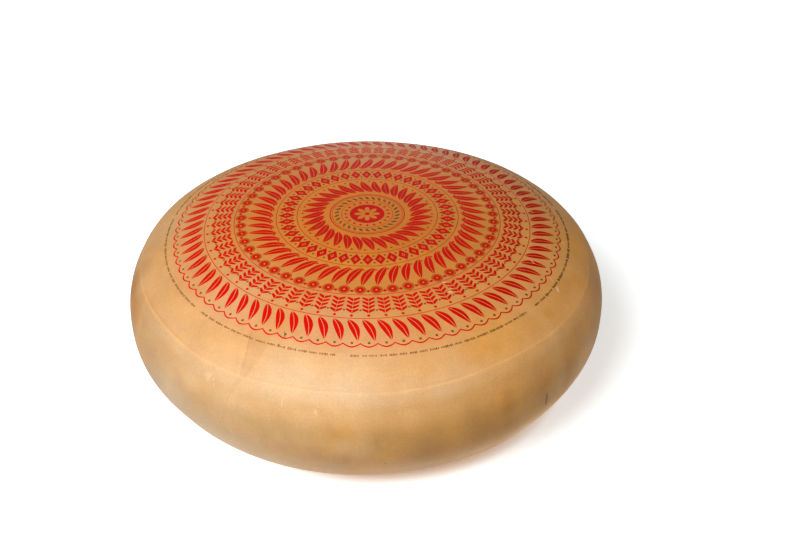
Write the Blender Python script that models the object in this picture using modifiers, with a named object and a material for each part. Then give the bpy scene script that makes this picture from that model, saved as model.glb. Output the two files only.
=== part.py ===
# Whole wheel of emmental lying flat: a heavy bulging round with a domed top, a moulded edge round its
# shoulder, a full belly and a flat underside. Metres, +Z up, origin at the centre of the underside.
import math

import bpy
from mathutils import Vector

# Driving dimensions of the turned form
WHEEL_RADIUS = 0.400        # at the belly, where the wheel is widest
BELLY_HEIGHT = 0.125        # from the floor to the widest level
CROWN_RISE = 0.140          # from the widest level to the middle of the top
CROWN_FLATNESS = 3.7        # exponent across the top: higher is flatter in the middle
SHOULDER_FULLNESS = 2.75    # exponent down the shoulder: higher is squarer
UNDERSIDE_DEPTH = 0.133     # from the widest level down, before its own weight presses the wheel flat
UNDERSIDE_FLATNESS = 4.4    # the same two exponents below the belly
HEEL_FULLNESS = 1.9

# Moulded edges that the pressing hoop leaves where the side meets the top and the underside:
# radius of the crest, how far it stands out, and how far its foot runs on either side
TOP_EDGE = (0.371, 0.0024, 0.028)
BOTTOM_EDGE = (0.365, 0.0040, 0.032)

# Settling of the soft wheel, as waves round it: height of the wave, lobes and heading in degrees
SPREAD_WAVES = ((0.0010, 2, 35.0), (0.0008, 3, -50.0), (0.0005, 5, 12.0))
SWELL_WAVES = ((0.0012, 2, 80.0), (0.0009, 3, 20.0), (0.0006, 7, -15.0))

# Fold that the pressing cloth left across the edge, at the front to the left
FOLD_HEADING = math.radians(-29.5)
FOLD_WIDTH = 0.011
FOLD_DEPTH = 0.0016
FOLD_TOP_RADIUS = 0.325     # where it starts on the top
FOLD_TOP_FADE = 0.020
FOLD_FOOT_HEIGHT = 0.165    # where it ends on the side
FOLD_FOOT_FADE = 0.030

# Fineness of the solid: rows on each stretch of the profile, and steps round the wheel
CROWN_RADIUS = 0.335        # where the crown turns down into the shoulder
CROWN_ROWS = 14
SHOULDER_ROWS = 4
SIDE_ROWS = 9               # between the top edge and the belly, and again down to the bottom edge
HEEL_ROWS = 8
TURN_STEPS = 100
FINE_SAMPLES = 600          # samples of the exact profile that the rows are spaced on
AXIS_RADIUS = 0.000001      # a point nearer the axis than this has no heading

RIND_COLOUR = (0.64, 0.41, 0.19, 1.0)
RIND_ROUGHNESS = 0.48


def curved_profile(rise, flatness, fullness):
    """One quarter of the section as (radius, height above the belly), from the axis out to the belly."""
    points = []
    for i in range(FINE_SAMPLES + 1):
        reach = math.sin(i / FINE_SAMPLES * math.pi / 2)
        lift = max(1 - reach ** flatness, 0.0) ** (1 / fullness)
        points.append(Vector((WHEEL_RADIUS * reach, rise * lift)))
    return points


def upper_profile():
    """From the middle of the top out and down to the belly."""
    quarter = curved_profile(CROWN_RISE, CROWN_FLATNESS, SHOULDER_FULLNESS)
    return [Vector((point.x, BELLY_HEIGHT + point.y)) for point in quarter]


def lower_profile():
    """From the belly down and in to the rim of the flat underside."""
    quarter = curved_profile(UNDERSIDE_DEPTH, UNDERSIDE_FLATNESS, HEEL_FULLNESS)
    hanging = [Vector((point.x, BELLY_HEIGHT - point.y)) for point in reversed(quarter)]
    return [point for point in hanging if point.y >= 0.0]


def even_rows(points, rows):
    """The same line with its points spread evenly along its length, the first one left out."""
    lengths = [0.0]
    for before, after in zip(points, points[1:]):
        lengths.append(lengths[-1] + (after - before).length)
    spaced = []
    segment = 0
    for row in range(1, rows + 1):
        wanted = lengths[-1] * row / rows
        while segment < len(points) - 2 and lengths[segment + 1] < wanted:
            segment += 1
        span = max(lengths[segment + 1] - lengths[segment], 1e-9)
        share = min((wanted - lengths[segment]) / span, 1.0)
        spaced.append(points[segment].lerp(points[segment + 1], share))
    return spaced


def raise_edge(points, crest, lift, reach):
    """Lift a moulded edge out of the profile, rounded over its crest and at its feet."""
    raised = []
    for i, point in enumerate(points):
        along = points[min(i + 1, len(points) - 1)] - points[max(i - 1, 0)]
        outward = Vector((-along.y, along.x)).normalized()
        away = min((point - crest).length / reach, 1.0)
        raised.append(point + outward * lift * (1 + math.cos(math.pi * away)) / 2)
    return raised


def wheel_profile():
    """Half of the wheel's section, from the middle of the top round to the middle of the underside."""
    upper = upper_profile()
    lower = lower_profile()
    shoulder = next(i for i, point in enumerate(upper) if point.x >= CROWN_RADIUS)
    top_crest = next(i for i, point in enumerate(upper) if point.x >= TOP_EDGE[0])
    bottom_crest = next(i for i, point in enumerate(lower) if point.x <= BOTTOM_EDGE[0])
    rows = [upper[0]]
    rows += even_rows(upper[:shoulder + 1], CROWN_ROWS)
    rows += even_rows(upper[shoulder:top_crest + 1], SHOULDER_ROWS)
    rows += even_rows(upper[top_crest:], SIDE_ROWS)
    rows += even_rows(lower[:bottom_crest + 1], SIDE_ROWS)
    rows += even_rows(lower[bottom_crest:], HEEL_ROWS)
    rows = raise_edge(rows, upper[top_crest], *TOP_EDGE[1:])
    rows = raise_edge(rows, lower[bottom_crest], *BOTTOM_EDGE[1:])
    rows[-1].y = 0.0
    rows.append(Vector((0.0, 0.0)))
    return rows


def make_material(name, colour, roughness):
    material = bpy.data.materials.new(name)
    material.use_nodes = True
    shader = material.node_tree.nodes["Principled BSDF"]
    shader.inputs["Base Color"].default_value = colour
    shader.inputs["Roughness"].default_value = roughness
    shader.inputs["Metallic"].default_value = 0.0
    material.diffuse_color = colour
    return material


def turn_wheel(name, profile, collection):
    """Turn the section round +Z with a Screw modifier and return the turned form as one mesh object."""
    mesh = bpy.data.meshes.new(name + "_profile")
    edges = [(i, i + 1) for i in range(len(profile) - 1)]
    mesh.from_pydata([(point.x, 0.0, point.y) for point in profile], edges, [])
    turned = bpy.data.objects.new(name + "_profile", mesh)
    collection.objects.link(turned)
    screw = turned.modifiers.new("Turn", "SCREW")
    screw.axis = "Z"
    screw.angle = 2 * math.pi
    screw.steps = TURN_STEPS
    screw.render_steps = TURN_STEPS
    screw.use_merge_vertices = True
    screw.merge_threshold = 0.0001
    evaluated = turned.evaluated_get(bpy.context.evaluated_depsgraph_get())
    solid = bpy.data.meshes.new_from_object(evaluated)
    solid.name = name
    bpy.data.objects.remove(turned)
    wheel = bpy.data.objects.new(name, solid)
    collection.objects.link(wheel)
    return wheel


def waves(table, heading):
    """Height of the summed waves at a heading, which is 0 at the front and grows towards +X."""
    return sum(height * math.cos(lobes * (heading - math.radians(start))) for height, lobes, start in table)


def fold_depth(radius, heading, height):
    """Depth of the cloth fold: a shallow groove that fades out on the top and down the side."""
    if radius < FOLD_TOP_RADIUS or height < FOLD_FOOT_HEIGHT:
        return 0.0
    across = (heading - FOLD_HEADING) * radius / FOLD_WIDTH
    fade_in = min((radius - FOLD_TOP_RADIUS) / FOLD_TOP_FADE, 1.0)
    fade_out = min((height - FOLD_FOOT_HEIGHT) / FOLD_FOOT_FADE, 1.0)
    return FOLD_DEPTH * fade_in * fade_out * math.exp(-across * across)


def settle(point):
    """Where a point of the turned form lies once the soft wheel has settled. The underside stays flat."""
    radius = math.hypot(point.x, point.y)
    if radius < AXIS_RADIUS:
        return point.copy()
    heading = math.atan2(point.x, -point.y)
    reach = radius / WHEEL_RADIUS
    free = min(point.z / BELLY_HEIGHT, 1.0)
    above = max((point.z - BELLY_HEIGHT) / CROWN_RISE, 0.0)
    spread = waves(SPREAD_WAVES, heading) * reach * free - fold_depth(radius, heading, point.z)
    swell = waves(SWELL_WAVES, heading) * reach * reach * above
    scale = (radius + spread) / radius
    return Vector((point.x * scale, point.y * scale, point.z + swell))


def settle_wheel(wheel):
    """Settle every point, then put the middle of the wheel's outline back over the origin."""
    settled = [settle(vertex.co) for vertex in wheel.data.vertices]
    middle_x = (min(point.x for point in settled) + max(point.x for point in settled)) / 2
    middle_y = (min(point.y for point in settled) + max(point.y for point in settled)) / 2
    for vertex, point in zip(wheel.data.vertices, settled):
        vertex.co = point - Vector((middle_x, middle_y, 0.0))
    wheel.data.update()


def main():
    for scene_object in list(bpy.data.objects):
        bpy.data.objects.remove(scene_object)
    collection = bpy.data.collections.new("Emmental wheel")
    bpy.context.scene.collection.children.link(collection)
    wheel = turn_wheel("cheese_wheel", wheel_profile(), collection)
    settle_wheel(wheel)
    wheel.data.materials.append(make_material("Rind", RIND_COLOUR, RIND_ROUGHNESS))
    wheel.data.shade_smooth()
    wheel.data.set_sharp_from_angle(angle=math.radians(30))


main()
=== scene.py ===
# Whole wheel of emmental: a settled round with moulded edges, a dry golden rind and a printed top.
import math
import random

import bpy
import numpy as np
from mathutils import Matrix, Vector, noise


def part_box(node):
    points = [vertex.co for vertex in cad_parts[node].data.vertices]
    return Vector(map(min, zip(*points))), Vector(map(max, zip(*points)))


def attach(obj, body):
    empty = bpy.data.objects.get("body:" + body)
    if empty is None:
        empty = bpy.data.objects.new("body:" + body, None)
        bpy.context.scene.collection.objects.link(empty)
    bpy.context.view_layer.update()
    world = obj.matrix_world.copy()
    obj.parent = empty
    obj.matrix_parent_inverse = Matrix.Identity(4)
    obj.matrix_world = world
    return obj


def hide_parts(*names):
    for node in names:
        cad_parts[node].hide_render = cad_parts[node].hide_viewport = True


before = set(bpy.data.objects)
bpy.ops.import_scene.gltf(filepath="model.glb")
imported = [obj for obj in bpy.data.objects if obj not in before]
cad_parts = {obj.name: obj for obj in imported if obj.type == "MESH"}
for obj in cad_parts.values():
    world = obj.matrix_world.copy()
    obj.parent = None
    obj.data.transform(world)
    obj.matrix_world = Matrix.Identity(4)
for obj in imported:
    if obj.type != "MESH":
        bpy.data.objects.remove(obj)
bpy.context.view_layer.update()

wheelLow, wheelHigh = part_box("cheese_wheel")
wheelHeight = wheelHigh.z - wheelLow.z
wheelRadius = (wheelHigh.x - wheelLow.x + wheelHigh.y - wheelLow.y) / 4
print("frame loaded, wheel", round(wheelRadius * 2, 3), "m across and", round(wheelHeight, 3), "m high")


# The turned form. Edges are: radius of the crest, how far it stands out, how far its foot runs.
# Waves are: height, lobes round the wheel, heading in degrees.
# A heading is 0 at the front and grows to the right.
form = {
    "bellyHeight": 0.125,
    "crownFlatness": 3.7,
    "shoulderFullness": 2.75,
    "undersideDepth": 0.133,
    "undersideFlatness": 4.4,
    "heelFullness": 1.9,
    "topEdge": (0.371, 0.0024, 0.028),
    "bottomEdge": (0.365, 0.0040, 0.032),
    "spreadWaves": ((0.0010, 2, 35.0), (0.0008, 3, -50.0), (0.0005, 5, 12.0)),
    "swellWaves": ((0.0012, 2, 80.0), (0.0009, 3, 20.0), (0.0006, 7, -15.0)),
    "sampleStep": 0.0004,
}


def quarterCurve(rise, flatness, fullness, samples=1600):
    # from the axis out to the belly, as radii and heights above the belly
    reach = np.sin(np.linspace(0, math.pi / 2, samples))
    return wheelRadius * reach, rise * np.maximum(1 - reach ** flatness, 0) ** (1 / fullness)


def raiseEdge(section, crestAlong, lift, reach):
    away = np.minimum(np.abs(section["along"] - crestAlong) / reach, 1)
    bump = lift * (1 + np.cos(math.pi * away)) / 2
    section["radius"] += section["outRadius"] * bump
    section["height"] += section["outHeight"] * bump


def makeSection():
    # half of the wheel's section, from the middle of the top round to the middle of the underside
    belly = form["bellyHeight"]
    topRadius, topRise = quarterCurve(wheelHeight - belly,
                                      form["crownFlatness"], form["shoulderFullness"])
    lowRadius, lowDrop = quarterCurve(form["undersideDepth"],
                                      form["undersideFlatness"], form["heelFullness"])
    radius = np.concatenate([topRadius, lowRadius[::-1][1:]])
    height = np.concatenate([belly + topRise, belly - lowDrop[::-1][1:]])
    hanging = height > 0
    baseRadius = float(np.interp(0.0, [height[~hanging][0], height[hanging][-1]],
                                 [radius[~hanging][0], radius[hanging][-1]]))
    radius = np.append(radius[hanging], [baseRadius, 0.0])
    height = np.append(height[hanging], [0.0, 0.0])
    length = np.concatenate([[0.0], np.cumsum(np.hypot(np.diff(radius), np.diff(height)))])
    along = np.arange(0, length[-1], form["sampleStep"])
    section = {
        "along": along,
        "radius": np.interp(along, length, radius),
        "height": np.interp(along, length, height),
    }
    slopeRadius = np.gradient(section["radius"], along)
    slopeHeight = np.gradient(section["height"], along)
    size = np.hypot(slopeRadius, slopeHeight)
    section["outRadius"] = -slopeHeight / size
    section["outHeight"] = slopeRadius / size
    section["baseAlong"] = float(length[-1] - baseRadius)
    bellyAlong = float(along[np.argmax(section["radius"])])
    upper = along <= bellyAlong
    section["upperAlong"] = along[upper]
    section["upperRadius"] = section["radius"][upper].copy()
    lower = (along > bellyAlong) & (along < section["baseAlong"])
    nearest = np.argmin(np.abs(section["radius"][lower] - form["bottomEdge"][0]))
    section["topCrest"] = float(np.interp(form["topEdge"][0], section["upperRadius"], along[upper]))
    bottomCrest = float(along[lower][nearest])
    raiseEdge(section, section["topCrest"], *form["topEdge"][1:])
    raiseEdge(section, bottomCrest, *form["bottomEdge"][1:])
    return section


def alongAtRadius(radius):
    # place on the section, on top of the wheel
    return np.interp(radius, section["upperRadius"], section["upperAlong"])


def alongAtHeight(height):
    # place on the section, down the side
    return np.interp(-np.asarray(height), -section["height"], section["along"])


def onSection(measure, along):
    return np.interp(along, section["along"], section[measure])


def waves(table, heading):
    return sum(rise * np.cos(lobes * (heading - math.radians(start))) for rise, lobes, start in table)


def smoothStep(low, high, value):
    share = np.clip((value - low) / (high - low), 0, 1)
    return share * share * (3 - 2 * share)


section = makeSection()
bellyRing = np.radians(np.arange(0, 360, 0.5))
bellySpread = wheelRadius + waves(form["spreadWaves"], bellyRing)
outlineX = bellySpread * np.sin(bellyRing)
outlineY = -bellySpread * np.cos(bellyRing)
outlineMiddle = ((outlineX.min() + outlineX.max()) / 2, (outlineY.min() + outlineY.max()) / 2)


# Relief of the rind. Lumps are: height, size.
relief = {
    "lumps": ((0.00055, 0.150), (0.00022, 0.045), (0.00007, 0.016)),
    "footFade": 0.03,
}

# The bead is the fine crest that the hoop leaves on the top edge.
bead = {
    "height": 0.0007,
    "width": 0.0025,
    "usual": 0.75,
    "change": 0.5,
    "limits": (0.15, 1.2),
    "noise": (4, 0.3),  # pace round the wheel, place in the noise
    # weaker towards the back, between two headings in radians
    "sideLoss": 0.35,
    "sideHeadings": (0.7, 1.6),
    # heading in degrees, how far down the slope the crest lies there, in metres
    "path": ((-180, -0.0010), (-130, 0.0010), (-81, 0.0015), (-68, -0.0015), (-55, -0.0030),
             (-39, 0.0), (-26, 0.0005), (-15, -0.0020), (-6, -0.0025), (1, -0.0015),
             (7, -0.0020), (12, -0.0033), (20, -0.0042), (29, -0.0062), (36, -0.0056),
             (41, -0.0053), (49, -0.0033), (58, -0.0026), (75, -0.0020), (88, -0.0040),
             (120, -0.0010), (150, 0.0020), (180, -0.0010)),
}

# Faint upright ribs that the cloth pressed into the side. They fade out between the two heights.
ribs = {
    "height": 0.00006,
    "width": 0.011,
    "length": 0.12,
    "fade": (0.235, 0.19),
}

# Fold of the pressing cloth: a shallow patch with a sharp left side that narrows to a crease down
# the side. Rows are: radius on the top or height on the side, headings of the left and right border.
fold = {
    "topRows": ((0.296, -33.4, -25.4), (0.316, -32.6, -26.2), (0.334, -31.3, -26.2),
                (0.346, -30.4, -26.4), (0.356, -30.0, -27.0), (0.366, -29.5, -27.6)),
    "sideRows": ((0.210, -29.5, -28.2), (0.202, -30.1, -29.0), (0.1925, -30.6, -29.7),
                 (0.180, -31.1, -30.4), (0.166, -31.6, -31.1)),
    "depth": 0.0014,
    # the fold's patch and crease are darkened by this much as painted shade
    "shade": 0.26,
    "leftBlend": 0.0020,
    "rightBlends": (0.0120, 0.0030),
    "rightSpan": (-0.3, 0.7),
    "endBlends": (0.026, 0.016),
}

# Dents: heading in degrees, radius on the top (or 0), height on the side (or 0), width, depth.
dents = (
    (27, 0.335, 0, 0.02, 0.0005),
    (34, 0.352, 0, 0.016, 0.0006),
    (-62, 0, 0.15, 0.03, 0.0007),
    (12, 0, 0.095, 0.035, 0.0006),
    (68, 0, 0.16, 0.028, 0.0009),
    (118, 0, 0.14, 0.032, 0.0009),
    (-128, 0, 0.12, 0.026, 0.0008),
    (165, 0.34, 0, 0.024, 0.0007),
    (-150, 0, 0.175, 0.02, 0.0007),
)


def lumpRelief(radius, height, heading):
    x, y = radius * np.sin(heading), -radius * np.cos(heading)
    raised = np.zeros(len(x))
    for index, place in enumerate(zip(x.tolist(), y.tolist(), height.tolist())):
        spot = Vector(place)
        raised[index] = sum(rise * noise.noise(spot / size) for rise, size in relief["lumps"])
    return raised


def ribRelief(heading, height):
    raised = np.zeros(len(heading))
    for index, (turn, level) in enumerate(zip(heading.tolist(), height.tolist())):
        around = turn * wheelRadius / ribs["width"]
        raised[index] = noise.noise(Vector((around, 0.0, level / ribs["length"])))
    return ribs["height"] * raised * smoothStep(*ribs["fade"], height)


def crestAt(heading):
    # place on the section where the crest of the top edge lies at a heading
    wrapped = (heading + math.pi) % (2 * math.pi) - math.pi
    turns = [math.radians(row[0]) for row in bead["path"]]
    return section["topCrest"] + np.interp(wrapped, turns, [row[1] for row in bead["path"]])


def beadRelief(along, heading):
    pace, level = bead["noise"]
    wander = np.array([noise.noise(Vector((math.sin(turn) * pace, math.cos(turn) * pace, level)))
                       for turn in heading.tolist()])
    away = (along - crestAt(heading)) / bead["width"]
    strength = bead["usual"] + bead["change"] * wander
    strength -= bead["sideLoss"] * smoothStep(*bead["sideHeadings"], np.abs(heading))
    return bead["height"] * np.clip(strength, *bead["limits"]) * np.exp(-away * away)


def foldMask(along, heading):
    rows = [(float(alongAtRadius(radius)), left, right) for radius, left, right in fold["topRows"]]
    rows += [(float(alongAtHeight(height)), left, right) for height, left, right in fold["sideRows"]]
    places = [row[0] for row in rows]
    left = np.radians(np.interp(along, places, [row[1] for row in rows]))
    right = np.radians(np.interp(along, places, [row[2] for row in rows]))
    radius = onSection("radius", along)
    rightBlend = np.interp(along, (places[1], section["topCrest"]), fold["rightBlends"])
    fromLeft = smoothStep(0, fold["leftBlend"], (heading - left) * radius)
    fromRight = smoothStep(*fold["rightSpan"], (right - heading) * radius / rightBlend)
    starts = smoothStep(0, fold["endBlends"][0], along - places[0])
    return fromLeft * fromRight * starts * smoothStep(0, fold["endBlends"][1], places[-1] - along)


def spotAway(along, heading, spot):
    # distance over the rind from a spot given as heading, radius on the top or height on the side
    turn = (heading - math.radians(spot[0]) + math.pi) % (2 * math.pi) - math.pi
    place = alongAtRadius(spot[1]) if spot[1] else alongAtHeight(spot[2])
    radius = onSection("radius", along)
    return np.hypot(turn * radius, along - place)


def dentRelief(along, heading):
    pressed = np.zeros(len(along))
    for dent in dents:
        away = spotAway(along, heading, dent) / dent[3]
        pressed += dent[4] * np.exp(-away * away)
    return pressed


def rindSurface(along, heading, proud=0.0):
    # points of the settled rind, at places along the section and headings round the wheel
    along = np.asarray(along, float)
    heading = np.asarray(heading, float)
    radius = onSection("radius", along)
    height = onSection("height", along)
    lift = lumpRelief(radius, height, heading) + beadRelief(along, heading)
    lift += ribRelief(heading, height)
    lift -= fold["depth"] * foldMask(along, heading) + dentRelief(along, heading)
    lift *= smoothStep(0.0, relief["footFade"], height)
    radius = radius + onSection("outRadius", along) * (lift + proud)
    height = height + onSection("outHeight", along) * (lift + proud)
    belly = form["bellyHeight"]
    reach = radius / wheelRadius
    free = np.clip(height / belly, 0, 1)
    above = np.maximum((height - belly) / (wheelHeight - belly), 0)
    spread = waves(form["spreadWaves"], heading) * reach * free
    swell = waves(form["swellWaves"], heading) * reach * reach * above
    x = (radius + spread) * np.sin(heading) - outlineMiddle[0]
    y = -(radius + spread) * np.cos(heading) - outlineMiddle[1]
    return np.stack([x, y, np.maximum(height + swell, 0)], -1)


def addObject(name, data):
    made = bpy.data.objects.new(name, data)
    bpy.context.scene.collection.objects.link(made)
    return made


# Materials

def addNode(tree, kind, inputs=None, **settings):
    made = tree.nodes.new(kind)
    for name, value in settings.items():
        setattr(made, name, value)
    for name, value in (inputs or {}).items():
        if isinstance(value, bpy.types.NodeSocket):
            tree.links.new(value, made.inputs[name])
        else:
            made.inputs[name].default_value = value
    return made


def mixColour(tree, factor, first, second, blend="MIX"):
    made = addNode(tree, "ShaderNodeMix", {0: factor, 6: first, 7: second}, data_type="RGBA",
                   blend_type=blend)
    return made.outputs[2]


def doMath(tree, operation, first, second=0.0, clamp=False):
    made = addNode(tree, "ShaderNodeMath", {0: first, 1: second}, operation=operation, use_clamp=clamp)
    return made.outputs[0]


def mapRange(tree, value, fromLow, fromHigh, toLow, toHigh):
    made = addNode(tree, "ShaderNodeMapRange", {
        "Value": value, "From Min": fromLow, "From Max": fromHigh, "To Min": toLow, "To Max": toHigh})
    return made.outputs[0]


def awayFrom(tree, coords, middle):
    offset = addNode(tree, "ShaderNodeVectorMath", {0: coords, 1: middle}, operation="SUBTRACT")
    away = addNode(tree, "ShaderNodeVectorMath", {0: offset.outputs[0]}, operation="LENGTH")
    return away.outputs["Value"]


def noiseTexture(tree, coords, size, detail, roughness, stretch=None):
    # size is that of one lump in metres; stretch is a scale along x, y and z
    if stretch:
        coords = addNode(tree, "ShaderNodeMapping", {"Vector": coords, "Scale": stretch}).outputs[0]
    made = addNode(tree, "ShaderNodeTexNoise", {"Vector": coords, "Scale": 1 / size, "Detail": detail,
                                                "Roughness": roughness})
    return made.outputs[0]


def newMaterial(name):
    material = bpy.data.materials.new(name)
    material.use_nodes = True
    tree = material.node_tree
    shader = tree.nodes["Principled BSDF"]
    coords = addNode(tree, "ShaderNodeTexCoord").outputs["Object"]
    return material, tree, shader, coords


def joinShader(tree, shader, colour, roughness, height, finish):
    tree.links.new(colour, shader.inputs["Base Color"])
    tree.links.new(roughness, shader.inputs["Roughness"])
    bump = addNode(tree, "ShaderNodeBump", {**finish["bump"], "Height": height})
    tree.links.new(bump.outputs[0], shader.inputs["Normal"])
    shader.inputs["Specular IOR Level"].default_value = finish["gloss"]


rindFinish = {
    # radius on the top (or 0), height on the side (or 0), colour
    "zones": (
        (0.010, 0, (0.705, 0.214, 0.018)),
        (0.090, 0, (0.725, 0.220, 0.020)),
        (0.135, 0, (0.730, 0.248, 0.032)),
        (0.180, 0, (0.715, 0.250, 0.044)),
        (0.215, 0, (0.720, 0.263, 0.067)),
        (0.250, 0, (0.735, 0.322, 0.099)),
        (0.295, 0, (0.760, 0.345, 0.128)),
        (0.340, 0, (0.758, 0.405, 0.158)),
        (0.370, 0, (0.724, 0.410, 0.186)),
        (0, 0.204, (0.629, 0.372, 0.174)),
        (0, 0.188, (0.563, 0.312, 0.117)),
        (0, 0.150, (0.419, 0.229, 0.071)),
        (0, 0.115, (0.390, 0.211, 0.072)),
        (0, 0.085, (0.446, 0.254, 0.109)),
        (0, 0.040, (0.505, 0.325, 0.181)),
    ),
    "warm": (0.705, 0.305, 0.035, 1.0),
    "shade": (0.60, 0.53, 0.44, 1.0),
    "bloomAndPaintedLight": (0.800, 0.560, 0.335, 1.0),
    "dust": (0.540, 0.430, 0.310, 1.0),
    "crest": (0.850, 0.540, 0.250, 1.0),
    # textures: size of a lump, detail, roughness, stretch
    "cloud": (0.11, 4.0, 0.55),
    "patch": (0.030, 4.0, 0.6),
    "grain": (0.0026, 3.0, 0.6),
    "streak": (0.014, 3.0, 0.6, (1.0, 1.0, 0.10)),
    "haze": (0.060, 3.0, 0.55, (1.0, 1.0, 0.7)),
    # what they do: lowest and highest value of the texture, and what each of them gives
    "cloudWarm": (0.46, 0.72, 0.0, 0.26),
    "hazeBloom": (0.50, 0.74, 0.0, 0.12),
    "streakBloom": (0.50, 0.75, 0.0, 0.04),
    "mottle": (0.25, 0.75, 0.93, 1.07),
    "speck": (0.25, 0.75, 0.90, 1.08),
    "roughness": (0.3, 0.7, 0.50, 0.62),
    # where on the section the side begins
    "side": (0.54, 0.62, 0.0, 1.0),
    "grainHeight": 0.35,
    "streakHeight": 0.5,
    "bump": {"Strength": 0.30, "Distance": 0.0004},
    "gloss": 0.18,
}


def makeRindMaterial():
    material, tree, shader, coords = newMaterial("Dry golden rind")
    zone = addNode(tree, "ShaderNodeAttribute", attribute_name="rindZone").outputs["Fac"]
    ramp = addNode(tree, "ShaderNodeValToRGB", {"Fac": zone})
    ramp.color_ramp.interpolation = "EASE"
    stops = ramp.color_ramp.elements
    while len(stops) > 1:
        stops.remove(stops[-1])
    for index, (radius, height, colour) in enumerate(rindFinish["zones"]):
        place = float(alongAtRadius(radius) if radius else alongAtHeight(height)) / section["baseAlong"]
        stop = stops[0] if index == 0 else stops.new(place)
        stop.position = place
        stop.color = (*colour, 1.0)
    layers = addNode(tree, "ShaderNodeAttribute", attribute_name="rindTone")
    tone = addNode(tree, "ShaderNodeSeparateColor", {"Color": layers.outputs["Color"]})
    dust = addNode(tree, "ShaderNodeAttribute", attribute_name="rindDust").outputs["Fac"]
    cloud = noiseTexture(tree, coords, *rindFinish["cloud"])
    patch = noiseTexture(tree, coords, *rindFinish["patch"])
    grain = noiseTexture(tree, coords, *rindFinish["grain"])
    streak = noiseTexture(tree, coords, *rindFinish["streak"])
    haze = noiseTexture(tree, coords, *rindFinish["haze"])
    side = mapRange(tree, zone, *rindFinish["side"])
    # stains and painted shade over the zones, then bloom with painted light, then dust, then the pale
    # crest line
    warm = doMath(tree, "ADD", mapRange(tree, cloud, *rindFinish["cloudWarm"]), tone.outputs[0], True)
    colour = mixColour(tree, warm, ramp.outputs["Color"], rindFinish["warm"])
    colour = mixColour(tree, tone.outputs[1], colour, rindFinish["shade"], "MULTIPLY")
    colour = mixColour(tree, tone.outputs[2], colour, rindFinish["bloomAndPaintedLight"])
    colour = mixColour(tree, dust, colour, rindFinish["dust"])
    hazy = doMath(tree, "ADD", mapRange(tree, haze, *rindFinish["hazeBloom"]),
                  mapRange(tree, streak, *rindFinish["streakBloom"]))
    colour = mixColour(tree, doMath(tree, "MULTIPLY", hazy, side), colour, rindFinish["bloomAndPaintedLight"])
    colour = mixColour(tree, layers.outputs["Alpha"], colour, rindFinish["crest"])
    # fine mottling
    value = doMath(tree, "MULTIPLY", mapRange(tree, patch, *rindFinish["mottle"]),
                   mapRange(tree, grain, *rindFinish["speck"]))
    light = addNode(tree, "ShaderNodeCombineColor", {0: value, 1: value, 2: value}).outputs[0]
    colour = mixColour(tree, 1.0, colour, light, "MULTIPLY")
    roughness = mapRange(tree, patch, *rindFinish["roughness"])
    pressed = doMath(tree, "MULTIPLY", side, rindFinish["streakHeight"])
    height = doMath(tree, "ADD", doMath(tree, "MULTIPLY", grain, rindFinish["grainHeight"]),
                    doMath(tree, "MULTIPLY", streak, pressed))
    joinShader(tree, shader, colour, roughness, height, rindFinish)
    return material


# Inks. Rows are: name, ink, rind under it, how much of that shows at most, roughness, and a darker
# ink that is used in the middle and towards the right.
inks = {
    "red": ("Red food ink", (0.700, 0.005, 0.002), (0.66, 0.09, 0.02), 0.03, (0.50, 0.62),
            (0.495, 0.003, 0.001)),
    "brown": ("Olive brown food ink", (0.215, 0.082, 0.014), (0.48, 0.21, 0.04), 0.40, (0.50, 0.62),
              (0.095, 0.034, 0.008)),
    "tan": ("Thin tan food ink", (0.500, 0.092, 0.010), (0.64, 0.20, 0.035), 0.35, (0.50, 0.62)),
}
inkFinish = {
    "pores": (0.0019, 3.0, 0.65),
    "wear": (0.035, 3.0, 0.5),
    # values of the two textures between which the rind comes to show
    "poresShow": (0.50, 0.80),
    "wearShow": (0.5, 0.85),
    "poresRough": (0.3, 0.7),
    # deeper ink: from, to, and how much of it at each, outwards from the middle and across
    "deepMiddle": (0.11, 0.27, 0.48, 0.0),
    "deepRight": (0.02, 0.28, 0.0, 1.0),
    "bump": {"Strength": 0.25, "Distance": 0.0004},
    "gloss": 0.05,
}


def makeInkMaterial(name, ink, ground, cover, roughness, deep=None):
    material, tree, shader, coords = newMaterial(name)
    pores = noiseTexture(tree, coords, *inkFinish["pores"])
    wear = noiseTexture(tree, coords, *inkFinish["wear"])
    thin = doMath(tree, "ADD", mapRange(tree, pores, *inkFinish["poresShow"], 0.0, cover),
                  mapRange(tree, wear, *inkFinish["wearShow"], 0.0, cover), True)
    body = (*ink, 1.0)
    if deep:
        across = addNode(tree, "ShaderNodeSeparateXYZ", {"Vector": coords}).outputs["X"]
        fromMiddle = awayFrom(tree, coords, (0.0, 0.0, wheelHeight))
        deeper = doMath(tree, "MAXIMUM", mapRange(tree, across, *inkFinish["deepRight"]),
                        mapRange(tree, fromMiddle, *inkFinish["deepMiddle"]))
        body = mixColour(tree, deeper, body, (*deep, 1.0))
    colour = mixColour(tree, thin, body, (*ground, 1.0))
    rough = mapRange(tree, pores, *inkFinish["poresRough"], *roughness)
    joinShader(tree, shader, colour, rough, pores, inkFinish)
    return material


# The rind's mesh: steps round the wheel in degrees, rows down the section in metres.
rindMesh = {
    "step": 0.80,
    "foldStep": 0.22,
    "foldHeadings": (-35.0, -24.0),
    "crownRow": 0.0060,
    "rimRow": 0.0030,
    "rimReach": 0.09,
    "crestRow": 0.0008,
    "crestReach": 0.010,
    "sideRow": 0.0036,
    "baseRow": 0.030,
    # the zones of colour bend with the crest within this reach
    "zoneReach": 0.035,
}
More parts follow.
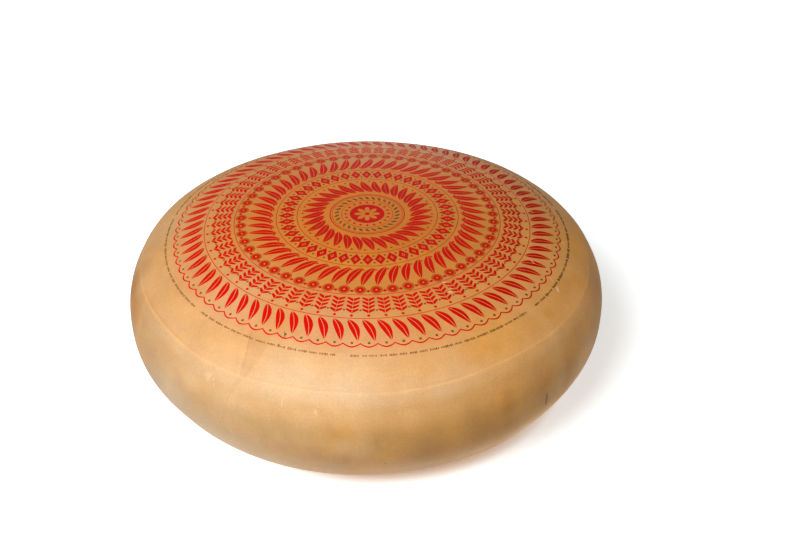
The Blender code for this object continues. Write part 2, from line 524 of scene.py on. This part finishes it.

# Where stains, painted shade and painted light meet, the strongest shows, and a higher union makes the
# change between them sharper.
# Rows: heading in degrees, radius on the top (or 0), height on the side (or 0), size, strength.
stainUnion = 5.0
warmStainsAndPaintedShade = (
    (58, 0, 0.16, 0.085, 0.33),
    (36, 0.342, 0, 0.062, 0.56),
    (61, 0.342, 0, 0.075, 0.46),
    (84, 0.345, 0, 0.09, 0.49),
    (75, 0.27, 0, 0.11, 0.3),
    (20, 0, 0.14, 0.07, 0.22),
    (30, 0, 0.172, 0.06, 0.38),
    (42, 0, 0.172, 0.034, 0.34),
    (10, 0, 0.168, 0.035, 0.24),
    (-6, 0, 0.166, 0.036, 0.26),
    (44, 0, 0.088, 0.036, 0.3),
    (2, 0, 0.11, 0.034, 0.14),
    (28, 0, 0.09, 0.04, 0.25),
    (22, 0, 0.056, 0.04, 0.22),
    # These three rows tint the painted shade of the left rim orange brown.
    (-77, 0, 0.186, 0.036, 0.58),
    (-72, 0, 0.167, 0.04, 0.82),
    (-61, 0, 0.148, 0.03, 0.5),
    (28.5, 0.342, 0, 0.034, 0.54),
    (30.5, 0.34, 0, 0.02, 0.62),
    (52, 0.352, 0, 0.032, 0.48),
    (17, 0, 0.16, 0.026, 0.28),
    (50, 0, 0.1, 0.03, 0.22),
    (24, 0, 0.157, 0.024, 0.34),
    (37, 0, 0.163, 0.026, 0.36),
    (45, 0.35, 0, 0.032, 0.47),
    (69, 0.358, 0, 0.03, 0.59),
    (12, 0, 0.19, 0.04, 0.16),
    (24, 0, 0.186, 0.04, 0.22),
    (62, 0, 0.196, 0.045, 0.22),
    (-62, 0, 0.192, 0.045, 0.14),
    (62, 0.25, 0, 0.08, 0.25),
    (22, 0.25, 0, 0.055, 0.22),
    (100, 0, 0.13, 0.09, 0.22),
    (26.5, 0.34, 0, 0.016, 0.35),
    (33, 0.35, 0, 0.02, 0.45),
    (33.4, 0.343, 0, 0.0045, 0.55),
    (33.5, 0.35, 0, 0.005, 0.62),
    (33.3, 0.357, 0, 0.0045, 0.5),
    (31.2, 0.35, 0, 0.0045, 0.6),
    (31, 0.357, 0, 0.004, 0.45),
    (30.2, 0.344, 0, 0.005, 0.7),
    (33.2, 0.362, 0, 0.0045, 0.65),
    (37, 0.338, 0, 0.012, 0.3),
    (46, 0.35, 0, 0.006, 0.5),
    (46.2, 0.357, 0, 0.005, 0.45),
    (30, 0.362, 0, 0.012, 0.28),
    (14, 0.352, 0, 0.02, 0.18),
    (-2, 0.15, 0, 0.06, 0.25),
    (62, 0.18, 0, 0.08, 0.12),
    (150, 0.345, 0, 0.03, 0.35),
    (-100, 0, 0.15, 0.04, 0.2),
    (-68, 0, 0.14, 0.03, 0.15),
)
# Mostly painted shade: the dark left rim and band edge, and a darker band down the side from the front
# to the right. The small rows are real brown smudges and spots.
paintedShadeAndStains = (
    (44, 0.356, 0, 0.016, 0.12),
    (52, 0.35, 0, 0.013, 0.22),
    (62, 0.33, 0, 0.08, 0.08),
    (100, 0.32, 0, 0.1, 0.18),
    (76, 0.12, 0, 0.11, 0.28),
    (41.8, 0, 0.127, 0.011, 0.26),
    (75, 0, 0.15, 0.05, 0.13),
    (24, 0, 0.136, 0.048, 0.6),
    (30.5, 0, 0.152, 0.02, 0.72),
    (30.5, 0, 0.127, 0.02, 0.6),
    (12, 0, 0.119, 0.046, 0.76),
    (-2, 0, 0.112, 0.034, 0.46),
    (41, 0, 0.126, 0.024, 0.28),
    (30.5, 0, 0.169, 0.018, 0.45),
    (-20, 0, 0.192, 0.03, 0.17),
    (65, 0.336, 0, 0.026, 0.2),
    (2, 0, 0.168, 0.04, 0.15),
    (-5, 0, 0.15, 0.034, 0.24),
    (-33, 0, 0.16, 0.03, 0.22),
    (-26, 0, 0.19, 0.035, 0.16),
    (39.5, 0, 0.163, 0.045, 0.53),
    (55, 0, 0.18, 0.04, 0.42),
    (14, 0, 0.072, 0.04, 0.27),
    (4, 0, 0.128, 0.055, 0.3),
    (52, 0, 0.185, 0.06, 0.2),
    (75, 0, 0.193, 0.055, 0.4),
    (-94, 0, 0.17, 0.05, 0.6),
    (-108, 0, 0.145, 0.04, 0.42),
    (-82, 0, 0.212, 0.026, 0.4),
    (-79, 0, 0.185, 0.041, 1),
    (-90, 0.354, 0, 0.05, 0.38),
    (-72, 0, 0.168, 0.045, 1),
    (-62, 0, 0.195, 0.055, 0.38),
    (-58, 0, 0.147, 0.06, 0.51),
    (-46, 0, 0.136, 0.045, 0.25),
    (-45, 0.35, 0, 0.05, 0.18),
    (-64, 0.345, 0, 0.06, 0.24),
    (45, 0.34, 0, 0.02, 0.2),
    (62, 0, 0.152, 0.046, 0.27),
    (50.5, 0, 0.158, 0.036, 0.58),
    (-140, 0, 0.12, 0.05, 0.12),
)
# Mostly painted light: a painted highlight on the front of the band near the crest and painted bounce
# from the floor on the lower side; the rest is pale bloom.
paintedLightAndBloom = (
    (-66, 0, 0.115, 0.08, 0.16),
    (-44, 0, 0.085, 0.08, 0.18),
    (-24, 0, 0.058, 0.045, 0.2),
    (-45, 0.262, 0, 0.07, 0.22),
    (-10, 0.262, 0, 0.06, 0.16),
    (-30, 0, 0.2, 0.06, 0.24),
    (-6, 0, 0.2, 0.05, 0.1),
    (-15, 0.357, 0, 0.032, 0.62),
    (-12, 0, 0.16, 0.038, 0.13),
    (-5, 0, 0.138, 0.022, 0.2),
    (-41, 0, 0.18, 0.026, 0.26),
    (17, 0, 0.19, 0.026, 0.05),
    (-94, 0.34, 0, 0.045, 0.2),
    (-15, 0.343, 0, 0.03, 0.4),
    (58, 0, 0.105, 0.055, 0.24),
    (39, 0, 0.062, 0.04, 0.6),
    (-18, 0, 0.14, 0.045, 0.07),
    (-20, 0.356, 0, 0.05, 0.58),
    (-4, 0.358, 0, 0.05, 0.52),
    (16, 0.368, 0, 0.03, 0.2),
    (8, 0.366, 0, 0.028, 0.24),
    (9, 0, 0.184, 0.022, 0.13),
    (-11, 0.367, 0, 0.024, 0.56),
    (-6, 0.362, 0, 0.022, 0.62),
    (-75, 0.368, 0, 0.024, 0.2),
    (25, 0, 0.07, 0.03, 0.16),
    (44, 0, 0.088, 0.024, 0.25),
    (-12, 0, 0.184, 0.022, 0.23),
    (-30, 0, 0.18, 0.06, 0.22),
    (-37, 0, 0.195, 0.006, 0.6),
    (-10.9, 0, 0.188, 0.004, 0.5),
    (-32, 0, 0.075, 0.035, 0.22),
    (120, 0, 0.1, 0.07, 0.2),
)
dustStains = (
    (-50, 0, 0.105, 0.075, 0.52),
    (-38, 0, 0.07, 0.07, 0.55),
    (-62, 0, 0.14, 0.045, 0.1),
    (-30, 0, 0.092, 0.035, 0.37),
    (-25, 0, 0.112, 0.026, 0.24),
    (10, 0, 0.128, 0.035, 0.06),
    (-58, 0, 0.19, 0.03, 0.2),
    (-20, 0, 0.07, 0.06, 0.16),
    (10, 0, 0.045, 0.06, 0.2),
    (-130, 0, 0.08, 0.08, 0.35),
    (140, 0, 0.09, 0.09, 0.3),
)


def rindRows():
    rows = []
    along = 0.0
    while along < section["baseAlong"] - rindMesh["sideRow"]:
        toCrest = section["topCrest"] - along
        if abs(toCrest) < rindMesh["crestReach"]:
            along += rindMesh["crestRow"]
        elif toCrest > 0:
            along += rindMesh["crownRow"] if toCrest > rindMesh["rimReach"] else rindMesh["rimRow"]
        else:
            along += rindMesh["sideRow"]
        rows.append(along)
    end = float(section["along"][-1])
    while along < end - rindMesh["baseRow"] * 1.5:
        along += rindMesh["baseRow"]
        rows.append(along)
    return rows


def rindHeadings():
    turns = []
    turn = -180.0
    while turn < 180.0 - rindMesh["step"] * 0.5:
        turns.append(turn)
        inFold = rindMesh["foldHeadings"][0] < turn < rindMesh["foldHeadings"][1]
        turn += rindMesh["foldStep"] if inFold else rindMesh["step"]
    return np.radians(turns)


def stainLayer(stains, along, heading):
    layer = np.zeros(len(along))
    for stain in stains:
        away = spotAway(along, heading, stain) / stain[3]
        layer += (stain[4] * np.exp(-away * away)) ** stainUnion
    return np.minimum(layer ** (1 / stainUnion), 1)


# Lines along the top edge: a pale line on the crest, strongest at the front,
# and the yellower line where the rind creases just inside it, broken here and there.
crestLines = {
    "line": {"inside": 0.0, "width": 0.0012, "usual": 0.30, "change": 0.22, "limits": (0.04, 0.5),
             "noise": (7, 0.5, 2.0), "sideLoss": 0.08},
    "furrow": {"inside": 0.0034, "width": 0.0017, "usual": 0.20, "change": 0.7, "limits": (0, 0.42),
               "noise": (4, 3.5, 1.0), "sideLoss": 0.0},
    # headings in radians: the front of the line, and how far from there its loss begins and ends
    "front": -0.2,
    "sides": (0.5, 1.3),
}


def crestBand(along, heading, wear):
    away = (along - crestAt(heading) + wear["inside"]) / wear["width"]
    pace, lane, level = wear["noise"]
    patchy = np.array([noise.noise(Vector((turn * pace, lane, level))) for turn in heading.tolist()])
    aside = smoothStep(*crestLines["sides"], np.abs(heading - crestLines["front"]))
    strength = wear["usual"] - wear["sideLoss"] * aside + wear["change"] * patchy
    return np.clip(strength, *wear["limits"]) * np.exp(-away * away)


def makeRind():
    rows = rindRows()
    headings = rindHeadings()
    steps = len(headings)
    end = float(section["along"][-1])
    along = np.concatenate([[0.0], np.repeat(rows, steps), [end]])
    heading = np.concatenate([[0.0], np.tile(headings, len(rows)), [0.0]])
    points = rindSurface(along, heading)
    last = len(points) - 1
    faces = []
    for step in range(steps):
        after = (step + 1) % steps
        faces.append((0, 1 + step, 1 + after))
        for row in range(len(rows) - 1):
            upper, lower = 1 + row * steps, 1 + (row + 1) * steps
            faces.append((upper + step, lower + step, lower + after, upper + after))
        foot = 1 + (len(rows) - 1) * steps
        faces.append((foot + step, last, foot + after))
    mesh = bpy.data.meshes.new("rind")
    mesh.from_pydata(points.tolist(), [], faces)
    mesh.update()
    mesh.shade_smooth()
    zone = mesh.attributes.new("rindZone", "FLOAT", "POINT")
    nearCrest = np.exp(-((along - section["topCrest"]) / rindMesh["zoneReach"]) ** 2)
    zonePlace = along - (crestAt(heading) - section["topCrest"]) * nearCrest
    zone.data.foreach_set("value", np.clip(zonePlace / section["baseAlong"], 0, 1).astype(np.float32))
    tone = np.ones((len(points), 4), np.float32)
    furrow = crestBand(along, heading, crestLines["furrow"])
    paintedFoldShade = fold["shade"] * foldMask(along, heading)
    tone[:, 0] = np.maximum(stainLayer(warmStainsAndPaintedShade, along, heading), furrow)
    tone[:, 1] = np.maximum(stainLayer(paintedShadeAndStains, along, heading), paintedFoldShade)
    tone[:, 2] = stainLayer(paintedLightAndBloom, along, heading)
    tone[:, 3] = crestBand(along, heading, crestLines["line"])
    dust = mesh.attributes.new("rindDust", "FLOAT", "POINT")
    dust.data.foreach_set("value", stainLayer(dustStains, along, heading).astype(np.float32))
    layer = mesh.color_attributes.new("rindTone", "FLOAT_COLOR", "POINT")
    layer.data.foreach_set("color", tone.ravel())
    rind = addObject("rind", mesh)
    mesh.materials.append(makeRindMaterial())
    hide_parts("cheese_wheel")
    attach(rind, "root")
    print("rind made with", len(mesh.polygons), "faces")


# The print on the top: bands of leaves, lozenges, ears and blossoms round a flower, in three inks.
# It lies a little off the middle of the wheel.
printLayout = {
    "middle": (0.0029, 0.0147),
    "proud": 0.00014,
    "sunk": 0.00030,
    # a red disc with a flower left open in it
    "flower": {"disc": 0.0290, "petals": 8, "waist": 0.0070, "reach": 0.0215, "sharpness": 0.75,
               "points": 160},
    # half width of a dot's ends as a share of its size
    "dotEnd": 0.12,
    # a leaf's broadest place, fullness, and half width of its tips
    "leaf": (0.85, 0.8, 0.0001),
    # gap along a chevron's middle, and share of its thickness that its ends lose
    "chevron": (0.0004, 0.35),
}


class InkSheet:
    # gathers thin closed strips of ink and lays them on the rind
    def __init__(self, name, material, slot):
        self.name, self.material, self.slot = name, material, slot
        self.places = []
        self.faces = []
        self.raised = []

    def strip(self, pairs, closed=False):
        # pairs are the two borders of the strip, point by point, as x and y on the print
        turned = []
        for pair in pairs:
            spots = []
            for x, y in pair:
                x, y = x + printLayout["middle"][0], y + printLayout["middle"][1]
                spots.append((float(alongAtRadius(math.hypot(x, y))), math.atan2(x, -y)))
            turned.append(spots)
        self.rindStrip(turned, closed)

    def rindStrip(self, pairs, closed=False):
        # the same with every point as a place along the section and a heading
        first = len(self.places)
        for left, right in pairs:
            self.places += [left, right, left, right]
            self.raised += [True, True, False, False]
        count = len(pairs)
        for index in range(count if closed else count - 1):
            here = first + index * 4
            there = first + ((index + 1) % count) * 4
            self.faces.append((here, here + 1, there + 1, there))
            self.faces.append((here + 2, there + 2, there + 3, here + 3))
            self.faces.append((here, there, there + 2, here + 2))
            self.faces.append((here + 1, here + 3, there + 3, there + 1))
        if not closed:
            end = first + (count - 1) * 4
            self.faces.append((first, first + 2, first + 3, first + 1))
            self.faces.append((end, end + 1, end + 3, end + 2))

    def build(self, proud):
        places = np.array(self.places)
        levels = np.where(self.raised, proud, -printLayout["sunk"])
        points = rindSurface(places[:, 0], places[:, 1], levels)
        mesh = bpy.data.meshes.new(self.name)
        mesh.from_pydata(points.tolist(), [], self.faces)
        mesh.update()
        mesh.materials.append(self.material)
        piece = addObject(self.name, mesh)
        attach(piece, "root")
        print(self.name, "made with", len(mesh.polygons), "faces")


def onPrint(radius, heading, points, lean=0.0):
    # leans points of a motif (sideways, outwards) and sets them at a radius and heading of the print
    placed = []
    for sideways, outwards in points:
        u = sideways * math.cos(lean) + outwards * math.sin(lean)
        v = outwards * math.cos(lean) - sideways * math.sin(lean)
        x, y = u, -(radius + v)
        placed.append((x * math.cos(heading) - y * math.sin(heading),
                       x * math.sin(heading) + y * math.cos(heading)))
    return placed


def ringSpot(turn, radius):
    return math.sin(turn) * radius, -math.cos(turn) * radius


def ringStrip(sheet, radius, heading, width, steps):
    turns = [heading + index * 2 * math.pi / steps for index in range(steps)]
    pairs = [(ringSpot(turn, radius + width / 2), ringSpot(turn, radius - width / 2)) for turn in turns]
    sheet.strip(pairs, closed=True)


def dot(sheet, radius, heading, size, steps=6):
    pairs = []
    for index in range(steps + 1):
        level = -1 + 2 * index / steps
        half = max(math.sqrt(max(1 - level * level, 0)), printLayout["dotEnd"])
        spots = [(half * size, level * size), (-half * size, level * size)]
        pairs.append(onPrint(radius, heading, spots))
    sheet.strip(pairs)


def smallRing(sheet, radius, heading, size, width, steps=14):
    pairs = []
    for index in range(steps):
        turn = index * 2 * math.pi / steps
        spots = [(reach * math.sin(turn), reach * math.cos(turn)) for reach in (size - width, size)]
        pairs.append(onPrint(radius, heading, spots))
    sheet.strip(pairs, closed=True)


def leaf(sheet, radius, heading, length, width, lean, bend=0.0, slit=0.0010, steps=9):
    # two half blades with a slit along the vein
    broadest, fullness, tip = printLayout["leaf"]
    for side in (-1, 1):
        pairs = []
        for index in range(steps + 1):
            share = index / steps
            level = (share - 0.5) * length
            vein = bend * math.sin(math.pi * share)
            swell = math.sin(math.pi * share ** broadest) ** fullness
            inner = vein + side * slit / 2
            outer = vein + side * (slit / 2 + (width - slit) / 2 * swell + tip)
            spots = [(inner, level), (outer, level)]
            left, right = onPrint(radius, heading, spots, math.radians(lean))
            pairs.append((left, right) if side < 0 else (right, left))
        sheet.strip(pairs)


def lozenge(sheet, radius, heading, length, width, border):
    corners = ((0, length / 2), (width / 2, 0), (0, -length / 2), (-width / 2, 0))
    shrink = 1 - border / (width / 2)
    pairs = []
    for index, corner in enumerate(corners):
        following = corners[(index + 1) % 4]
        for part in (0, 1 / 3, 2 / 3):
            u = corner[0] + (following[0] - corner[0]) * part
            v = corner[1] + (following[1] - corner[1]) * part
            pairs.append(onPrint(radius, heading, [(u * shrink, v * shrink), (u, v)]))
    sheet.strip(pairs, closed=True)


def chevron(sheet, radius, heading, width, rise, thick):
    gap, loss = printLayout["chevron"]
    for side in (-1, 1):
        pairs = []
        for index in range(4):
            share = index / 3
            u = side * (gap + share * width / 2)
            v = -rise * share
            taper = thick * (1 - loss * share)
            low, high = onPrint(radius, heading, [(u, v - taper / 2), (u, v + taper / 2)])
            pairs.append((low, high) if side > 0 else (high, low))
        sheet.strip(pairs)


def ear(sheet, radius, heading, width, rise, thick, rows, spacing):
    for row in range(rows):
        chevron(sheet, radius + row * spacing, heading, width, rise, thick)


def scallop(sheet, radius, heading, span, sag, width, steps=7):
    # one hanging arc, its span in degrees
    pairs = []
    for index in range(steps + 1):
        share = index / steps
        turn = heading + (share - 0.5) * math.radians(span)
        drop = radius + sag * math.sin(math.pi * share)
        pairs.append((ringSpot(turn, drop + width / 2), ringSpot(turn, drop - width / 2)))
    sheet.strip(pairs)


def flowerDisc(sheet):
    flower = printLayout["flower"]
    pairs = []
    for index in range(flower["points"]):
        turn = index * 2 * math.pi / flower["points"]
        petal = abs(math.cos(flower["petals"] / 2 * turn)) ** flower["sharpness"]
        inner = flower["waist"] + (flower["reach"] - flower["waist"]) * petal
        pairs.append((ringSpot(turn, flower["disc"]), ringSpot(turn, inner)))
    sheet.strip(pairs, closed=True)


# The pattern from the middle out. A row is: how many round, steps that they start off the front, motifs.
# A motif is: ink, kind, radius, half steps to the side, then the sizes that its kind takes.
pattern = (
    (1, 0, ("red", dot, 0.0, 0, 0.0045, 8)),
    (20, 0, ("red", lozenge, 0.0362, 0, 0.0068, 0.005, 0.0022)),
    (1, 0, ("red", ringStrip, 0.0432, 0, 0.0008, 120)),
    (30, 0, ("brown", leaf, 0.051, 0, 0.0108, 0.0042, 38, 0.0, 0.0004, 6)),
    (1, 0, ("red", ringStrip, 0.0588, 0, 0.0008, 140),
     ("red", ringStrip, 0.0622, 0, 0.0017, 160)),
    (32, 0, ("red", leaf, 0.0905, 0, 0.043, 0.0134, 26, 0.003, 0.0007),
     ("red", dot, 0.1085, 1.6, 0.0019)),
    (1, 0, ("red", ringStrip, 0.1172, 0, 0.0011, 200)),
    (44, 0, ("red", lozenge, 0.1345, 0, 0.029, 0.0176, 0.006),
     ("red", dot, 0.1345, 0, 0.0016),
     ("brown", dot, 0.1255, 1, 0.0019),
     ("brown", dot, 0.1435, 1, 0.0019)),
    (1, 0, ("red", ringStrip, 0.1518, 0, 0.0011, 220)),
    # leaves that lean the other way
    (54, 0, ("red", leaf, 0.178, 0, 0.048, 0.0134, -24, -0.0032),
     ("red", dot, 0.162, -0.7, 0.0018)),
    # blossoms
    (54, 0.5, ("tan", smallRing, 0.2104, 0, 0.0094, 0.003196),
     ("red", smallRing, 0.2104, 0, 0.006204, 0.004512),
     ("red", dot, 0.213, 1, 0.0027)),
    (1, 0, ("red", ringStrip, 0.2215, 0, 0.0011, 260)),
    # ears of stacked chevrons
    (66, 0, ("red", ear, 0.2332, 0, 0.0176, 0.0052, 0.0062, 4, 0.0082),
     ("red", dot, 0.2655, 0, 0.0024),
     ("brown", dot, 0.2545, 1, 0.0017)),
    (1, 0, ("red", ringStrip, 0.271, 0, 0.0011, 300)),
    (80, 0, ("red", leaf, 0.2925, 0, 0.042, 0.013, 24, 0.003),
     ("red", scallop, 0.3165, 0, 4.5, 0.0056, 0.0022),
     ("brown", dot, 0.3155, 0, 0.002)),
)


def layPattern(sheets):
    for count, start, *motifs in pattern:
        for index in range(count):
            turn = (index + start) * 2 * math.pi / count
            for ink, motif, radius, aside, *sizes in motifs:
                motif(sheets[ink], radius, turn + math.pi / count * aside, *sizes)


# Rim of small upright ticks in loose groups. Pairs are the least and the most.
ticks = {
    "radius": 0.3357,
    "height": (0.0016, 0.0038),
    "width": (0.0008, 0.0016),
    "gap": 0.0010,
    "inGroup": (3, 9),
    "pause": 0.0028,
    "pauseChange": (0.6, 1.4),
    "groupsToRest": 15,
    "rest": 0.0170,
    "restChange": (0.6, 1.3),
    "endGap": 0.012,
    # the ink took least at this heading
    "leastHeading": -25.0,
    "gain": 0.34,
    "gainPace": 1.2,
    "heightGain": 0.4,
}


def fineTicks(brown):
    draw = random.Random(7)
    turn = 0.0
    group = 0
    groups = 0
    while turn < 2 * math.pi - ticks["endGap"]:
        fromLeast = abs((turn - math.radians(ticks["leastHeading"]) + math.pi) % (2 * math.pi) - math.pi)
        strong = 1 + ticks["gain"] * (1 - math.cos(ticks["gainPace"] * fromLeast))
        width = draw.uniform(*ticks["width"]) * strong
        taller = 1 - ticks["heightGain"] + ticks["heightGain"] * strong
        height = draw.uniform(*ticks["height"]) * taller
        half = width / 2
        pairs = [onPrint(ticks["radius"], turn, [(half, level), (-half, level)])
                 for level in (-height / 2, height / 2)]
        brown.strip(pairs)
        group += 1
        space = ticks["gap"]
        if group > draw.randint(*ticks["inGroup"]):
            space += ticks["pause"] * draw.uniform(*ticks["pauseChange"])
            group = 0
            groups += 1
            if groups % ticks["groupsToRest"] == 0:
                space += ticks["rest"] * draw.uniform(*ticks["restChange"])
        turn += (width + space) / ticks["radius"]


def makePrint():
    sheets = {
        "red": InkSheet("print_red", makeInkMaterial(*inks["red"]), "red_print"),
        "brown": InkSheet("print_brown", makeInkMaterial(*inks["brown"]), "brown_print"),
        "tan": InkSheet("print_tan", makeInkMaterial(*inks["tan"]), "brown_print"),
    }
    flowerDisc(sheets["red"])
    layPattern(sheets)
    fineTicks(sheets["brown"])
    for sheet in sheets.values():
        sheet.build(printLayout["proud"])


# Small marks of handling. Rows are: heading in degrees, radius on the top (or 0), height on the
# side (or 0), length, width, lean of the mark in degrees from straight down the slope.
scratches = (
    (-36.3, 0, 0.199, 0.007, 0.0011, 4),
    (-35.2, 0, 0.195, 0.005, 0.001, -5),
    (-36.9, 0, 0.19, 0.003, 0.001, 20),
    (-34.9, 0, 0.188, 0.006, 0.0007, 3),
    (-28.9, 0, 0.192, 0.003, 0.0011, 60),
    (-18.3, 0, 0.193, 0.012, 0.001, 0),
    (-10.9, 0, 0.1885, 0.006, 0.001, -6),
    (-10.4, 0, 0.1945, 0.002, 0.0009, 0),
    (61.3, 0.3375, 0, 0.0115, 0.003, -52),
    (63.4, 0.323, 0, 0.011, 0.0008, -40),
    (67, 0.2855, 0, 0.011, 0.0011, -32),
    (32, 0.236, 0, 0.0085, 0.0032, 60),
    (33.6, 0.23, 0, 0.006, 0.0009, 20),
    (33.5, 0.2135, 0, 0.006, 0.0024, 60),
    (97.5, 0.285, 0, 0.009, 0.0011, -30),
    (95.5, 0.346, 0, 0.0026, 0.0024, 0),
    (83, 0.328, 0, 0.0075, 0.0009, 15),
    (-96, 0, 0.17, 0.011, 0.001, 10),
    (150, 0, 0.16, 0.014, 0.001, -8),
)
stainMarks = (
    (41.8, 0, 0.1275, 0.025, 0.005, 2),
    (41.7, 0, 0.135, 0.012, 0.003, -2),
    (3.3, 0, 0.1005, 0.0028, 0.0024, 0),
    (-23.4, 0.3195, 0, 0.0036, 0.0028, 40),
    (-23.3, 0.301, 0, 0.012, 0.0014, 22),
    (-127, 0, 0.142, 0.007, 0.002, 6),
)


# Skins are as the inks are.
marks = {
    "paleSkin": ("Scraped pale rind", (0.800, 0.560, 0.350), (0.72, 0.44, 0.20), 0.70, (0.55, 0.70)),
    "paleProud": 0.00026,
    "darkSkin": ("Brown spot", (0.250, 0.145, 0.068), (0.38, 0.22, 0.09), 0.50, (0.50, 0.65)),
    "darkProud": 0.00024,
    "endWidth": 0.25,
    "endShare": 0.06,
    "fullness": 0.7,
}


def layMark(sheet, mark, steps=6):
    turn, radius, height, length, width, lean = mark
    middle = float(alongAtRadius(radius) if radius else alongAtHeight(height))
    reach = float(onSection("radius", middle))
    slope = math.radians(lean)
    pairs = []
    for index in range(steps + 1):
        share = index / steps
        level = (share - 0.5) * length
        inside = min(max(share, marks["endShare"]), 1 - marks["endShare"])
        swell = math.sin(math.pi * inside) ** marks["fullness"]
        half = width / 2 * (marks["endWidth"] + (1 - marks["endWidth"]) * swell)
        pair = []
        for side in (-half, half):
            down = level * math.cos(slope) - side * math.sin(slope)
            sideways = level * math.sin(slope) + side * math.cos(slope)
            pair.append((middle + down, math.radians(turn) + sideways / reach))
        pairs.append(tuple(pair))
    sheet.rindStrip(pairs)


def makeMarks():
    pale = InkSheet("scratches", makeInkMaterial(*marks["paleSkin"]), "rind")
    dark = InkSheet("brown_marks", makeInkMaterial(*marks["darkSkin"]), "rind")
    for mark in scratches:
        layMark(pale, mark)
    for mark in stainMarks:
        layMark(dark, mark)
    pale.build(marks["paleProud"])
    dark.build(marks["darkProud"])


# Studio: white sweep, big soft key from the front left, camera at the photograph's place.
studio = {
    # heading, elevation, distance, size, power, colour
    "lights": {
        "keyLight": (-31.0, 45.0, 2.6, 1.1, 64.5, (1, 1, 1)),
        "backLight": (178.0, 13.0, 2.8, 1.0, 10.0, (1, 1, 1)),
        "cardLight": (82.0, 9.0, 2.2, 0.8, 4.5, (1, 0.80, 0.48)),
    },
    "ambient": {"Color": (1.0, 0.90, 0.72, 1.0), "Strength": 0.12},
    "backdrop": {"Color": (1, 1, 1, 1), "Strength": 1.1},
    "floorRadius": 9.0,
    "floorColour": (0.78, 0.80, 0.83, 1.0),
    "floorRoughness": 0.8,
    "floorGloss": 0.1,
    "floorTint": (0.95, 0.98, 1.0, 1.0),
    "floorGlow": 0.38,
    # extra glow that the camera sees, lowest near the wheel as a painted shadow round it: from and to
    # radius round a middle, least and most glow
    "seenGlowAndPaintedShadow": (0.34, 0.78, 0.20, 0.72),
    "seenMiddle": (0.085, 0.060, 0.0),
    # painted contact shadow and painted bounce, darker and redder near the wheel's foot and less so on
    # the left: from and to radius, loss of glow
    "paintedContactShadow": (0.318, 0.350, 0.42),
    "paintedShadowSide": (-0.19, -0.03),
    "paintedShadowMiddle": (0.012, 0.0, 0.0),
    "paintedBounceTint": (1.0, 0.72, 0.52, 1.0),
    "camera": (0.0062, -1.4076, 1.1505),
    "lookAt": (0.0650, 0.2356, 0.0),
    "roll": 0.10,
    "lens": 45.03,
    "sensor": 36.0,
}


def makeLight(name, heading, elevation, distance, size, power, colour):
    lamp = bpy.data.lights.new(name, "AREA")
    lamp.shape = "DISK"
    lamp.size = size
    lamp.energy = power
    lamp.color = colour
    light = addObject(name, lamp)
    turn, rise = math.radians(heading), math.radians(elevation)
    direction = Vector((math.sin(turn) * math.cos(rise),
                        -math.cos(turn) * math.cos(rise), math.sin(rise)))
    light.location = Vector((0, 0, wheelHeight / 2)) + direction * distance
    light.rotation_euler = direction.to_track_quat("Z", "Y").to_euler()


def makeFloor(steps=96):
    turns = [index * 2 * math.pi / steps for index in range(steps)]
    radius = studio["floorRadius"]
    ring = [(math.sin(turn) * radius, math.cos(turn) * radius, 0.0) for turn in turns]
    mesh = bpy.data.meshes.new("studioFloor")
    mesh.from_pydata(ring, [], [tuple(reversed(range(steps)))])
    floor = addObject("studioFloor", mesh)
    material, tree, shader, coords = newMaterial("White sweep")
    shader.inputs["Base Color"].default_value = studio["floorColour"]
    shader.inputs["Roughness"].default_value = studio["floorRoughness"]
    shader.inputs["Specular IOR Level"].default_value = studio["floorGloss"]
    # overexposed to the eye of the camera, but a milder light on the wheel; near the wheel the camera's
    # glow is lowered and reddened as a painted shadow and painted bounce
    seen = addNode(tree, "ShaderNodeLightPath").outputs["Is Camera Ray"]
    extra = mapRange(tree, awayFrom(tree, coords, studio["seenMiddle"]), *studio["seenGlowAndPaintedShadow"])
    near, clear, loss = studio["paintedContactShadow"]
    paintedFloorShadow = mapRange(tree, awayFrom(tree, coords, studio["paintedShadowMiddle"]), near, clear, 1.0, 0.0)
    across = addNode(tree, "ShaderNodeSeparateXYZ", {"Vector": coords}).outputs["X"]
    rightward = mapRange(tree, across, *studio["paintedShadowSide"], 0.0, 1.0)
    paintedFloorShadow = doMath(tree, "MULTIPLY", paintedFloorShadow, rightward)
    extra = doMath(tree, "SUBTRACT", extra, doMath(tree, "MULTIPLY", paintedFloorShadow, loss))
    glow = doMath(tree, "ADD", doMath(tree, "MULTIPLY", seen, extra), studio["floorGlow"])
    tint = mixColour(tree, paintedFloorShadow, studio["floorTint"], studio["paintedBounceTint"])
    tree.links.new(glow, shader.inputs["Emission Strength"])
    tree.links.new(tint, shader.inputs["Emission Color"])
    mesh.materials.append(material)


def makeWorld():
    world = bpy.data.worlds.new("White studio")
    world.use_nodes = True
    tree = world.node_tree
    tree.nodes.clear()
    seen = addNode(tree, "ShaderNodeBackground", studio["backdrop"]).outputs[0]
    felt = addNode(tree, "ShaderNodeBackground", studio["ambient"]).outputs[0]
    ray = addNode(tree, "ShaderNodeLightPath").outputs["Is Camera Ray"]
    mixed = addNode(tree, "ShaderNodeMixShader", {0: ray, 1: felt, 2: seen})
    addNode(tree, "ShaderNodeOutputWorld", {"Surface": mixed.outputs[0]})
    bpy.context.scene.world = world
    bpy.context.scene.view_settings.view_transform = "Standard"


def makeCamera():
    camera = addObject("camera", bpy.data.cameras.new("camera"))
    camera.data.lens = studio["lens"]
    camera.data.sensor_width = studio["sensor"]
    camera.location = studio["camera"]
    aim = Vector(studio["lookAt"]) - camera.location
    turned = aim.to_track_quat("-Z", "Y").to_matrix().to_4x4()
    spin = Matrix.Rotation(math.radians(studio["roll"]), 4, "Z")
    camera.rotation_euler = (turned @ spin).to_euler()
    bpy.context.scene.camera = camera


def makeStudio():
    makeFloor()
    for name, plan in studio["lights"].items():
        makeLight(name, *plan)
    makeWorld()
    makeCamera()
    print("studio ready")


makeRind()
makePrint()
makeMarks()
makeStudio()
